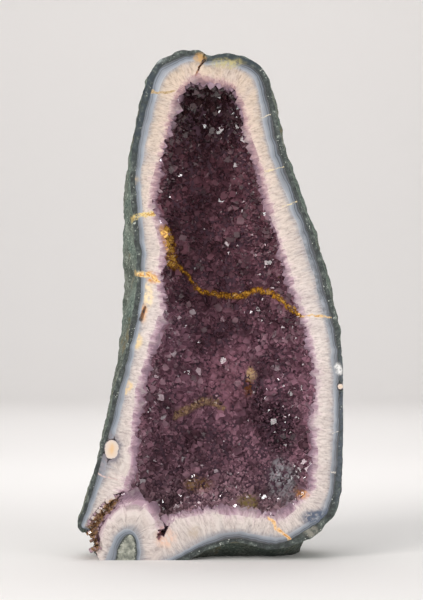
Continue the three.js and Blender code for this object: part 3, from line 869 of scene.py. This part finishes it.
druse = {
    "facePitch": 2.0 * mm, "bedPitch": 4.5 * mm, "bedRounds": 16,
    "lumps": [(34 * mm, 3.4 * mm), (15 * mm, 1.6 * mm), (6 * mm, 0.8 * mm)],
    "rimShare": 0.5,  # share of the lumps' height at the saw cut
    "rimRamp": 12 * mm,  # and how far behind it they are at full height
    "rimLinks": 3,  # points of the rim that each inner point of the sawn face goes with
    "valleyGrowth": 0.8,  # size of the crystals in the fold's valleys
    "foldTop": 0.15,  # share of the stone's height under which carvings hold crystals
    "thinned": 3.0 * mm,  # the bed lies this much behind the solid's surface, which holds the crystals too
    "least": 2.2 * mm,  # and is nowhere thinner than this
    "outerFold": (0.10, 0.085), "outerGrowth": 0.5,  # left of and below these shares crystals stay small
    "recess": 0.06 * mm,  # the sawn bed stands this much behind the cut crystals
    "capRecess": (0.1, 0.8),  # and their cuts these shares of it, so that no two are in one plane
    "clusterSize": 38 * mm, "clusterGrowth": (0.82, 1.3),  # neighbouring crystals grow alike
    "rimZone": (3 * mm, 14 * mm),  # crystals of the rim shrink to those of the hollow in between
    "slimness": (0.85, 1.25),  # height of a crystal, in heights of its form
    "toothDepth": 9 * mm,  # thickness of the druse over which quartz's comb turns purple
}
largePoints = {
    "spacing": 4.0 * mm, "radius": (2.0 * mm, 4.4 * mm), "rimGrowth": 1.3, "lean": 28, "sink": 1.4 * mm,
    "seed": 11, "forms": 8,
}
finePoints = {
    "spacing": 2.7 * mm, "radius": (1.2 * mm, 2.3 * mm), "rimGrowth": 1.2, "lean": 34, "sink": -0.4 * mm,
    "seed": 29, "forms": 6,
}
foldPoints = {
    "spacing": 2.3 * mm, "radius": (1.5 * mm, 2.9 * mm), "rimGrowth": 1.0, "lean": 32, "sink": 0.6 * mm,
    "seed": 5, "forms": 6,
}
pointForm = {  # lengths in radii of the crystal
    "poleAngle": math.radians(51.8), "poleSpread": 0.03,  # between quartz's long axis and its end faces
    "tip": 1.15, "tipSpread": 0.35, "length": 4, "foot": -1.2,
    "largeFaces": (-0.06, 0.06), "smallFaces": (0.18, 0.6), "outset": 0.6,  # how far out end faces are cut
}
fineTip = {  # and where its points stray from a regular form
    "tip": 1.1, "tipSpread": 0.3, "foot": -1.2, "aside": 0.15, "reach": (0.85, 1.1), "wave": 0.1,
}


# cuts away what lies outside a plane, caps the cut and gives its caps
def sawOff(bm, place, outward):
    cut = bmesh.ops.bisect_plane(bm, geom=bm.verts[:] + bm.edges[:] + bm.faces[:],
                                 plane_co=place, plane_no=outward, clear_outer=True)
    rim = [e for e in cut["geom_cut"] if isinstance(e, bmesh.types.BMEdge)]
    return bmesh.ops.edgeloop_fill(bm, edges=rim)["faces"] if rim else []


# a quartz crystal of radius 1: six sides, cut by three large and three small end faces
def crystalForm(index, rng):
    s = pointForm
    bm = bmesh.new()
    bmesh.ops.create_cone(bm, cap_ends=True, segments=6, radius1=1, radius2=1, depth=s["length"])
    tip = s["tip"] + s["tipSpread"] * rng.random()
    for side in range(6):
        turn = math.radians(60 * side + 30)
        slope = s["poleAngle"] + rng.uniform(-s["poleSpread"], s["poleSpread"])
        outward = Vector((
            math.sin(slope) * math.cos(turn), math.sin(slope) * math.sin(turn), math.cos(slope)))
        further = rng.uniform(*s["smallFaces" if side % 2 else "largeFaces"])
        sawOff(bm, outward * (tip * math.cos(slope) + further * s["outset"]), outward)
    bmesh.ops.bisect_plane(bm, geom=bm.verts[:] + bm.edges[:] + bm.faces[:],
                           plane_co=(0, 0, s["foot"]), plane_no=(0, 0, -1), clear_outer=True)
    bmesh.ops.holes_fill(bm, edges=[e for e in bm.edges if e.is_boundary])
    bmesh.ops.recalc_face_normals(bm, faces=bm.faces)
    data = bpy.data.meshes.new(f"crystal_form_{index}")
    bm.to_mesh(data)
    bm.free()
    return labelledForm(data, tip, rng)


# a small crystal of radius 1: a six-sided point over a hidden six-sided foot
def fineForm(index, rng):
    s = fineTip
    tip = s["tip"] + s["tipSpread"] * rng.random()
    points = [(rng.uniform(-s["aside"], s["aside"]), rng.uniform(-s["aside"], s["aside"]), tip),
              (0, 0, s["foot"])]
    for side in range(6):
        turn = math.radians(60 * side)
        reach = rng.uniform(*s["reach"])
        points.append((reach * math.cos(turn), reach * math.sin(turn), rng.uniform(-s["wave"], s["wave"])))
    faces = []
    for side in range(6):
        here, following = 2 + side, 2 + (side + 1) % 6
        faces += [(here, following, 0), (following, here, 1)]
    data = bpy.data.meshes.new(f"fine_form_{index}")
    data.from_pydata(points, [], faces)
    return labelledForm(data, tip, rng)


# tipShare is 1 at a crystal's tip; each face has its own facetTone, painted light and reflection standing in
# for the part of the hollow and the lamps that each face mirrors
def labelledForm(data, tip, rng):
    storeNumbers(data, "tipShare", [max(0.0, v.co.z) / tip for v in data.vertices])
    storeNumbers(data, "facetTone", [rng.random() for _ in data.polygons], "FACE")
    return bpy.data.objects.new(data.name, data)


# scatters crystals over the faces whose grows attribute is 1
def druseTree(forms, material):
    tree = bpy.data.node_groups.new("grow crystals", "GeometryNodeTree")
    face = tree.interface
    face.new_socket("Geometry", in_out="INPUT", socket_type="NodeSocketGeometry")
    for name in ("Spacing", "Smallest", "Largest", "Lean", "Sink", "Rim Growth"):
        face.new_socket(name, in_out="INPUT", socket_type="NodeSocketFloat")
    face.new_socket("Seed", in_out="INPUT", socket_type="NodeSocketInt")
    face.new_socket("Geometry", in_out="OUTPUT", socket_type="NodeSocketGeometry")
    given = addNode(tree, "NodeGroupInput").outputs

    grows = addNode(tree, "GeometryNodeInputNamedAttribute", {"Name": "grows"}, data_type="FLOAT").outputs[0]
    spots = addNode(tree, "GeometryNodeDistributePointsOnFaces", {
        "Mesh": given["Geometry"], "Selection": grows, "Distance Min": given["Spacing"],
        "Density Max": 160000.0,  # so many to the square metre that only the spacing limits them
        "Seed": given["Seed"]}, distribute_method="POISSON").outputs
    sunk = addNode(tree, "ShaderNodeVectorMath", {
        0: spots["Normal"], "Scale": given["Sink"]}, operation="SCALE")
    lowered = addNode(tree, "GeometryNodeSetPosition", {"Geometry": spots["Points"], "Offset": sunk})

    leanBack = addNode(tree, "ShaderNodeMath", {0: given["Lean"], 1: -1.0}, operation="MULTIPLY")
    low = addNode(tree, "ShaderNodeCombineXYZ", {0: leanBack, 1: leanBack, 2: 0.0})
    high = addNode(tree, "ShaderNodeCombineXYZ", {0: given["Lean"], 1: given["Lean"], 2: 2 * math.pi})
    tilt = addNode(tree, "FunctionNodeRandomValue", {
        0: low, 1: high, "Seed": given["Seed"]}, data_type="FLOAT_VECTOR")
    turned = addNode(tree, "FunctionNodeRotateRotation", {
        "Rotation": spots["Rotation"], "Rotate By": tilt}, rotation_space="LOCAL")

    size = addNode(tree, "FunctionNodeRandomValue", {
        2: given["Smallest"], 3: given["Largest"], "Seed": given["Seed"]}, data_type="FLOAT")
    place = addNode(tree, "GeometryNodeInputPosition")
    clusters = addNode(tree, "ShaderNodeTexNoise", {"Vector": place, "Scale": 1 / druse["clusterSize"]})
    clusters = addNode(tree, "ShaderNodeMapRange", {
        "Value": clusters, "From Min": 0.35, "From Max": 0.65,
        "To Min": druse["clusterGrowth"][0], "To Max": druse["clusterGrowth"][1]})
    behind = addNode(tree, "ShaderNodeSeparateXYZ", {0: place}).outputs["Y"]
    rimSize = addNode(tree, "ShaderNodeMapRange", {
        "Value": behind, "From Min": faceY + druse["rimZone"][0], "From Max": faceY + druse["rimZone"][1],
        "To Min": given["Rim Growth"], "To Max": 1.0})
    for growth in (clusters, grows, rimSize):
        size = addNode(tree, "ShaderNodeMath", {0: size, 1: growth}, operation="MULTIPLY")
    tall = addNode(tree, "FunctionNodeRandomValue", {
        2: druse["slimness"][0], 3: druse["slimness"][1], "Seed": 5}, data_type="FLOAT")
    height = addNode(tree, "ShaderNodeMath", {0: size, 1: tall}, operation="MULTIPLY")
    scale = addNode(tree, "ShaderNodeCombineXYZ", {0: size, 1: size, 2: height})
    formChoice = addNode(tree, "GeometryNodeCollectionInfo", {
        "Collection": forms, "Separate Children": True, "Reset Children": True})
    which = addNode(tree, "FunctionNodeRandomValue", {  # a number past the last form starts again
        4: 0, 5: 1000, "Seed": 3}, data_type="INT")
    crystals = addNode(tree, "GeometryNodeInstanceOnPoints", {
        "Points": lowered, "Instance": formChoice, "Pick Instance": True,
        "Instance Index": which, "Rotation": turned, "Scale": scale})
    shade = addNode(tree, "FunctionNodeRandomValue", {2: 0.0, 3: 1.0, "Seed": 9}, data_type="FLOAT")
    tinted = addNode(tree, "GeometryNodeStoreNamedAttribute", {
        "Geometry": crystals, "Name": "crystalTint", "Value": shade}, data_type="FLOAT", domain="INSTANCE")
    real = addNode(tree, "GeometryNodeRealizeInstances", {"Geometry": tinted})
    finished = addNode(tree, "GeometryNodeSetMaterial", {"Geometry": real, "Material": material})
    addNode(tree, "NodeGroupOutput", {"Geometry": finished})
    return tree


def growCrystals(bedObject, makeForm, s, material):
    rng = random.Random(s["seed"])
    forms = bpy.data.collections.new("crystal forms")
    for index in range(s["forms"]):
        forms.objects.link(makeForm(index, rng))
    tree = druseTree(forms, material)
    modifier = bedObject.modifiers.new("grow crystals", "NODES")
    modifier.node_group = tree
    values = {"Spacing": s["spacing"], "Smallest": s["radius"][0], "Largest": s["radius"][1],
              "Lean": math.radians(s["lean"]), "Sink": -s["sink"], "Rim Growth": s["rimGrowth"],
              "Seed": s["seed"]}
    for item in tree.interface.items_tree:
        if item.in_out == "INPUT" and item.name in values:
            modifier[item.identifier] = values[item.name]
    ready = bedObject.evaluated_get(bpy.context.evaluated_depsgraph_get())
    data = bpy.data.meshes.new_from_object(ready)
    bedObject.modifiers.remove(modifier)
    for form in list(forms.objects):
        bpy.data.objects.remove(form)
    bpy.data.collections.remove(forms)
    return data


# saws crystals off at the front, the base and the stone's left edge, and caps each cut
def sawCrystals(data, seed):
    rng = random.Random(seed)
    bm = bmesh.new()
    bm.from_mesh(data)
    cuts = [((0, faceY, 0), (0, -1, 0)), ((0, 0, lowCorner.z), (0, 0, -1)), ((lowCorner.x, 0, 0), (-1, 0, 0))]
    for place, outward in cuts:
        for f in sawOff(bm, place, outward):
            f.material_index = 1
            inwards = Vector(outward) * -rng.uniform(*druse["capRecess"]) * druse["recess"]
            for v in f.verts:
                v.co += inwards
    bmesh.ops.recalc_face_normals(bm, faces=bm.faces)
    bm.to_mesh(data)
    bm.free()


# the sawn face's inner points go part of the way with the nearest points of its moved rim
def followRim(points, settled, moved, front, near):
    rim = [i for i in moved if front[i]]
    tree = KDTree(len(rim))
    for i in rim:
        tree.insert(Vector(settled[i]), i)
    tree.balance()
    for i in set(np.flatnonzero(front)) - set(rim):
        p = Vector(settled[i])
        nearby = tree.find_n(p, druse["rimLinks"])
        toWall = near.find_nearest(p)[3]
        share = toWall / (toWall + nearby[0][2] + tiny)
        points[i] += share * sum(points[j] - settled[j] for _, j, _ in nearby) / druse["rimLinks"]
    return points


def makeDruse(sawnMaterial, quartz):
    s = druse
    bm = startPiece("amethyst_druse", s["facePitch"], s["bedPitch"])
    near = neighboursOf("amethyst_druse")
    clear = np.array([near.find_nearest(v.co)[3] > shaping["clear"] for v in bm.verts])
    points, normals, skin, front = settle(bm, "amethyst_druse", s["bedRounds"])
    inner = np.flatnonzero((skin | front) & clear & (np.abs(normals).sum(1) > 0))
    settled = points.copy()
    for i in inner:
        p = Vector(points[i])
        strength = s["rimShare"] + (1 - s["rimShare"]) * min(1.0, (p.y - faceY) / s["rimRamp"])
        height = strength * sum(size * noise.noise(p / length) for length, size in s["lumps"]) - s["thinned"]
        points[i] += normals[i] * max(height, min(0.0, s["least"] - near.find_nearest(p)[3]))
    points = followRim(points, settled, inner, front, near)
    points = carve(wander(points), front)
    points[front & (np.abs(points[:, 1] - faceY) < shaping["flatness"]), 1] += s["recess"]
    bm.faces.ensure_lookup_table()
    sawnFaces = [allOnFront(f) or allOnBase(f) for f in bm.faces]
    shows = [near.find_nearest(f.calc_center_median())[3] > shaping["clear"] for f in bm.faces]
    putBack(bm, points)
    markCarved(bm, sawnFaces)
    growing = bm.faces.layers.float["grows"]
    for f, sawn, inHollow in zip(bm.faces, sawnFaces, shows):
        centre = f.calc_center_median()
        if inHollow and not sawn:
            outer = centre.x < across(s["outerFold"][0]) and centre.z < upwards(s["outerFold"][1])
            f[growing] = s["outerGrowth"] if outer else 1.0
        f.material_index = 2 if sawn and f[growing] == 0 else 0
    bed = finishPiece(bm, "amethyst_bed", "amethyst_druse",
                      [amethystRoot(), amethystPoint(), sawnMaterial])
    grown = []
    for name, host, makeForm, settings in (("amethyst_points", bed, crystalForm, largePoints),
                                           ("amethyst_fines", bed, fineForm, finePoints),
                                           ("amethyst_fold_points", quartz, crystalForm, foldPoints)):
        data = growCrystals(host, makeForm, settings, bed.data.materials[1])
        data.materials.clear()
        data.materials.append(bed.data.materials[1])
        data.materials.append(sawnMaterial)
        sawCrystals(data, settings["seed"])
        data.name = name
        for p in data.polygons:
            p.use_smooth = False
        grown.append(showPiece(data, "amethyst_druse"))
    quartzWall, agateWall = surfaceOf(["quartz_layer"]), surfaceOf(quartzFeet)
    for piece in [bed] + grown:
        places = [v.co for v in piece.data.vertices]
        storeNumbers(piece.data, "layerShare", [
            1 + quartzWall.find_nearest(p)[3] / s["toothDepth"] for p in places])
        storeVectors(piece.data, "layerFoot", [agateWall.find_nearest(p)[0] for p in places])
    return bed, grown


rind = makeBasaltRind()
print("basalt rind ready:", len(rind.data.polygons), "faces")
banded, comb, cream = bandedAgate(), combQuartz(), creamChalcedony()
agate = makeLayer("agate_band", "agate_band_sawn", banded, ["basalt_rind"], ["quartz_layer"])
quartz = makeLayer("quartz_layer", "quartz_layer_sawn", comb, quartzFeet, ["amethyst_druse"])
ring = makeLayer("agate_ring", "agate_ring_sawn", banded, ["basalt_core"], ["quartz_layer"])
core = makeLayer("basalt_core", "basalt_core_sawn", mottledBasalt(), ["agate_ring"],
                 thickness=5 * mm)
nodules = [makeLayer(f"{side}_nodule", f"{side}_nodule_sawn", cream,
                     ["agate_band", "quartz_layer", "basalt_rind"], thickness=thickness)
           for side, thickness in (("left", 6 * mm), ("right", 5 * mm))]
print("layers ready:", [len(piece.data.polygons) for piece in [agate, quartz, ring, core] + nodules])
bed, grown = makeDruse(comb, quartz)
triangles = [sum(len(p.vertices) - 2 for p in piece.data.polygons) for piece in grown]
print("druse ready:", len(bed.data.polygons), "faces in the bed,", triangles, "triangles in the crystals")


stage = {  # metres
    "paper": "#f5f2f0", "bendRadius": 0.9, "bendStart": 3.4, "bendSteps": 16, "halfWidth": 4.5, "tall": 3.2,
    "near": -4.5, "sky": "#f2f1f0", "skyStrength": 0.15,
}
# place in metres from the middle of the sawn face, size, watts, colour, and the way it shines if not at that
lights = {
    "key softbox": ((-1.1, -1.6, 1.0), (1.0, 1.0), 26, "#fffdfb"),
    "fill softbox": ((1.4, -1.5, 0.4), (1.0, 1.0), 11, "#ffffff"),
    "top softbox": ((0, 0.27, 1.8), (1.6, 1.6), 18, "#ffffff"),
    "floor wash far": ((0, 1.5, 1.4), (1.8, 0.9), 2.6, "#ffffff", (0, 0.3, -1)),
    "floor wash near": ((0, 0.95, 0.55), (1.6, 0.3), 2.1, "#ffffff", (0, 0.3, -1)),
    "wall wash": ((0, 2.0, 2.0), (3.0, 0.8), 39, "#fffefe", (0, 1, -1)),
    "spark left": ((-0.45, -1.7, 0.45), (0.26, 0.26), 5.0, "#ffffff"),
    "spark right": ((0.5, -1.6, 0.05), (0.24, 0.24), 4.2, "#ffffff"),
}


# paper that lies flat under the stone and bends up behind it
def makeSweep():
    s = stage
    profile = [(s["near"], 0.0)]
    for step in range(s["bendSteps"] + 1):
        turn = math.radians(90 * step / s["bendSteps"])
        profile.append((s["bendStart"] + s["bendRadius"] * math.sin(turn),
                        s["bendRadius"] * (1 - math.cos(turn))))
    profile.append((s["bendStart"] + s["bendRadius"], s["tall"]))
    points = [(side * s["halfWidth"], y, z) for y, z in profile for side in (-1, 1)]
    faces = [(2 * i, 2 * i + 1, 2 * i + 3, 2 * i + 2) for i in range(len(profile) - 1)]
    data = bpy.data.meshes.new("sweep")
    data.from_pydata(points, [], faces)
    for p in data.polygons:
        p.use_smooth = True
    sweep = bpy.data.objects.new("sweep", data)
    scene.collection.objects.link(sweep)
    material, tree, place = startMaterial("paper sweep")  # matt paper with a faint tooth
    tooth = addNode(tree, "ShaderNodeTexNoise", {"Vector": place, "Scale": 1 / (1.5 * mm)})
    data.materials.append(finishMaterial(
        material, {"Base Color": s["paper"], "Roughness": 0.9, "Specular IOR Level": 0.2},
        (tooth, 0.05 * mm, 0.2)))
    sweep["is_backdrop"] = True


def addLight(name, offset, size, power, colour, way=None):
    middle = Vector((0, faceY, stoneSize.z / 2))
    way = Vector(way) if way else -Vector(offset)
    data = bpy.data.lights.new(name, "AREA")
    data.shape = "RECTANGLE"
    data.size, data.size_y = size
    data.energy = power
    data.color = linearColour(colour)[:3]
    light = bpy.data.objects.new(name, data)
    light.location = middle + Vector(offset)
    light.rotation_euler = way.to_track_quat("-Z", "Y").to_euler()
    scene.collection.objects.link(light)


makeSweep()
for name, settings in lights.items():
    addLight(name, *settings)
world = bpy.data.worlds.new("studio")
world.use_nodes = True
world.node_tree.nodes["Background"].inputs["Color"].default_value = linearColour(stage["sky"])
world.node_tree.nodes["Background"].inputs["Strength"].default_value = stage["skyStrength"]
scene.world = world
scene.view_settings.view_transform = "Standard"

viewing = {"distance": 2.2, "frameTall": 528 * mm, "sensor": 36.0, "aside": 1 * mm, "height": 229 * mm}
cameraData = bpy.data.cameras.new("camera")
cameraData.sensor_width = viewing["sensor"]
cameraData.lens = viewing["sensor"] * viewing["distance"] / viewing["frameTall"]
camera = bpy.data.objects.new("camera", cameraData)
camera.location = (viewing["aside"], faceY - viewing["distance"], viewing["height"])
camera.rotation_euler = (math.radians(90), 0, 0)
scene.collection.objects.link(camera)
scene.camera = camera
